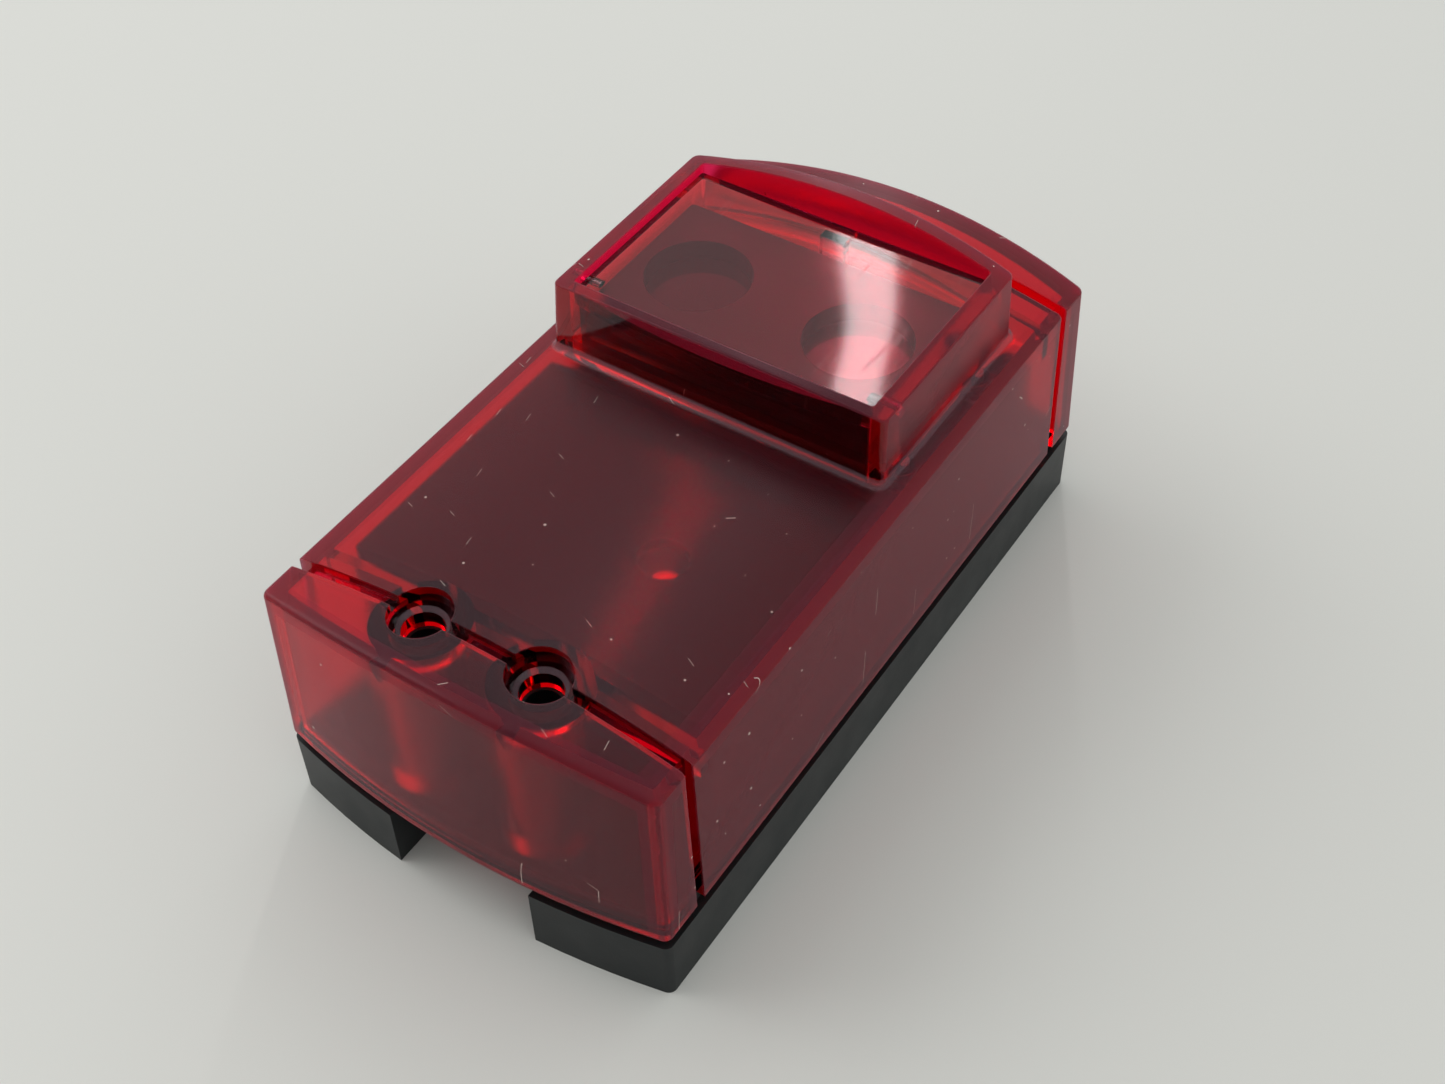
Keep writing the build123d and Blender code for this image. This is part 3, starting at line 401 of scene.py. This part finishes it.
materials = {
    "cover": makeRubyCover(),
    "press_pane": makeRubyPane(),
    "base": makeMouldedPlastic("abs_black_fine_texture", "0c1214", "13191b", 0.45, 0.35 * mm, 0.03 * mm, 0.32),
    "gasket": makeMouldedPlastic("epdm_rubber_black", "0d0d0d", "141414", 0.75, 0.5 * mm, 0.02 * mm, 0.3),
    "steel": makeMetal("steel_zinc_plated", "b9b8b2", 0.3, 0.3),
    "well_plate": makeMouldedPlastic("abs_black_smooth", "1a1214", "201618", 0.35, 0.4 * mm, 0.01 * mm),
    "well_lens": makeMouldedPlastic("acrylic_smoke_polished", "2a1416", "30181a", 0.1, 2 * mm, 0.002 * mm),
    "shroud": makeMouldedPlastic("abs_black_fine_grain", "1a1214", "221719", 0.7, 0.4 * mm, 0.02 * mm, 0.2),
    "board": makeMouldedPlastic("glass_epoxy_green_mask", "0c2f1c", "0f3a22", 0.3, 0.3 * mm, 0.01 * mm),
    "bracket": makeMouldedPlastic("nylon_black_natural_gloss", "1b1b1d", "222225", 0.45, 0.4 * mm, 0.02 * mm),
    "switch_case": makeMouldedPlastic("polyester_black_gloss", "101012", "161618", 0.3, 0.4 * mm, 0.01 * mm),
    "switch_button": makeMouldedPlastic("acetal_natural_white", "d8d2c6", "e2dcd2", 0.35, 0.4 * mm, 0.01 * mm),
    "spring_steel": makeMetal("spring_steel_drawn", "8f8e8b", 0.28, 0.2),
    "tinned_copper": makeMetal("copper_tinned", "c4c0b8", 0.32, 0.2),
    "terminal_block": makeMouldedPlastic("polyamide_green_moulded", "1f5a34", "24663c", 0.45, 0.4 * mm, 0.02 * mm),
    "terminal_brass": makeMetal("brass_nickel_plated", "c9b98e", 0.3, 0.2),
    "relay": makeMouldedPlastic("polyester_dark_blue_gloss", "16181f", "1c1f28", 0.3, 0.5 * mm, 0.01 * mm),
    "capacitor": makeMouldedPlastic("pvc_sleeve_dark_blue", "1b2034", "20263e", 0.35, 0.6 * mm, 0.005 * mm),
    "chip": makeMouldedPlastic("epoxy_black_matt", "131313", "1a1a1a", 0.6, 0.25 * mm, 0.02 * mm),
    "spacer": makeMouldedPlastic("nylon_white_natural", "c9c6bb", "d4d1c7", 0.5, 0.4 * mm, 0.01 * mm),
    "lamp": makeLampEpoxy(),
    "resistor": makeMouldedPlastic("lacquer_tan_dipped", "a58a5c", "b0966a", 0.35, 0.6 * mm, 0.01 * mm),
}
slotOf = {row["node"]: row["material_slot"] for row in frame["record"]["subparts"]}
bodyOf = {n: body for body, members in frame["record"]["behaviour"]["bodies"].items() for n in members}
for nodeName, nodeObject in nodes.items():
    nodeObject.data.materials.clear()
    nodeObject.data.materials.append(materials[slotOf[nodeName]])
print("materials made:", len(materials))


def finishedCopy(nodeName, mergeDistance=0.002 * mm, sharpAngle=28.0):
    # the CAD shape with its loose triangles joined, so that curved faces shade smoothly
    source = nodes[nodeName]
    mesh = source.data.copy()
    shape = bmesh.new()
    shape.from_mesh(mesh)
    bmesh.ops.remove_doubles(shape, verts=shape.verts, dist=mergeDistance)
    bmesh.ops.dissolve_degenerate(shape, dist=mergeDistance, edges=shape.edges)
    limit = math.radians(sharpAngle)
    for face in shape.faces:
        face.smooth = True
    for edge in shape.edges:
        edge.smooth = len(edge.link_faces) == 2 and edge.calc_face_angle(math.pi) < limit
    shape.to_mesh(mesh)
    shape.free()
    if "custom_normal" in mesh.attributes:
        mesh.attributes.remove(mesh.attributes["custom_normal"])
    piece = bpy.data.objects.new(nodeName + "_finished", mesh)
    bpy.context.scene.collection.objects.link(piece)
    piece.data.materials.clear()
    piece.data.materials.append(materials[slotOf[nodeName]])
    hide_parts(nodeName)
    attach(piece, bodyOf[nodeName])
    return piece


for nodeName in nodes:
    shell = finishedCopy(nodeName)
    if nodeName.startswith("return_spring"):
        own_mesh(shell)
print("shells finished")


floorPaper = {"colour": "e2e1dc", "roughness": 0.6, "fibre": 0.6 * mm, "fibreDepth": 0.05 * mm, "halfWidth": 2.5}


def makeFloor():
    shape = bmesh.new()
    bmesh.ops.create_grid(shape, x_segments=2, y_segments=2, size=floorPaper["halfWidth"])
    mesh = bpy.data.meshes.new("studio_floor")
    shape.to_mesh(mesh)
    shape.free()
    floor = bpy.data.objects.new("studio_floor", mesh)
    bpy.context.scene.collection.objects.link(floor)
    material, tree, place = newMaterial("paper_pale_matt")
    fibre = addNode(tree, "ShaderNodeTexNoise", {"Vector": place, "Scale": 1 / floorPaper["fibre"], "Detail": 4.0})
    bump = addNode(
        tree, "ShaderNodeBump", {"Strength": 0.15, "Distance": floorPaper["fibreDepth"], "Height": fibre.outputs[0]}
    )
    shader = addNode(
        tree, "ShaderNodeBsdfPrincipled",
        {"Base Color": linear(floorPaper["colour"]), "Roughness": floorPaper["roughness"], "Normal": bump.outputs[0]},
    )
    finishMaterial(tree, shader)
    mesh.materials.append(material)


studio = {
    "worldColour": "f6f9f8",
    "backStrength": 0.84,
    "frontStrength": 0.46,
    "frontEnd": -0.75,
    "backStart": 0.1,
    "aim": (0.0, 0.0, 0.03),
    "lamps": (
        # name, place, width, height, watts
        ("soft_box", (-0.90, -0.25, 0.80), 0.9, 0.9, 4.0),
        ("tall_strip", (-0.43, 0.82, 0.81), 0.04, 0.9, 0.9),
    ),
}


def makeLight():
    world = bpy.data.worlds.new("studio")
    world.use_nodes = True
    tree = world.node_tree
    tree.nodes.clear()
    # a bright room behind the part, and a dimmer one in front of it
    direction = addNode(tree, "ShaderNodeTexCoord").outputs["Generated"]
    depth = addNode(tree, "ShaderNodeSeparateXYZ", {0: direction}).outputs[1]
    strength = addNode(
        tree, "ShaderNodeMapRange",
        {0: depth, 1: studio["frontEnd"], 2: studio["backStart"], 3: studio["frontStrength"],
         4: studio["backStrength"]},
        interpolation_type="SMOOTHSTEP",
    ).outputs[0]
    back = addNode(tree, "ShaderNodeBackground", {"Color": linear(studio["worldColour"]), "Strength": strength})
    addNode(tree, "ShaderNodeOutputWorld", {"Surface": back.outputs[0]})
    bpy.context.scene.world = world
    for name, place, sizeX, sizeY, power in studio["lamps"]:
        lamp = bpy.data.lights.new(name, "AREA")
        lamp.shape = "RECTANGLE"
        lamp.size = sizeX
        lamp.size_y = sizeY
        lamp.energy = power
        holder = bpy.data.objects.new(name, lamp)
        bpy.context.scene.collection.objects.link(holder)
        aim = Vector(studio["aim"]) - Vector(place)
        holder.matrix_world = Matrix.Translation(place) @ aim.to_track_quat("-Z", "Y").to_matrix().to_4x4()


camera = {
    "place": (0.113314, -0.158296, 0.225505),
    "azimuth": 34.883,
    "elevation": 46.877,
    "roll": -1.8816,
    "lens": 48.045,
    "sensor": 36.0,
}


def makeCamera():
    azimuth, elevation, roll = (math.radians(camera[k]) for k in ("azimuth", "elevation", "roll"))
    back = Vector((
        math.sin(azimuth) * math.cos(elevation), -math.cos(azimuth) * math.cos(elevation), math.sin(elevation)
    ))
    right = Vector((math.cos(azimuth), math.sin(azimuth), 0))
    up = back.cross(right)
    turnedRight = math.cos(roll) * right + math.sin(roll) * up
    turnedUp = -math.sin(roll) * right + math.cos(roll) * up
    data = bpy.data.cameras.new("camera")
    data.lens = camera["lens"]
    data.sensor_width = camera["sensor"]
    data.clip_start = 0.01
    holder = bpy.data.objects.new("camera", data)
    bpy.context.scene.collection.objects.link(holder)
    turned = Matrix((turnedRight, turnedUp, back)).transposed().to_4x4()
    holder.matrix_world = Matrix.Translation(camera["place"]) @ turned
    bpy.context.scene.camera = holder


makeFloor()
makeLight()
makeCamera()
bpy.context.scene.view_settings.view_transform = "Standard"
print("stage ready")
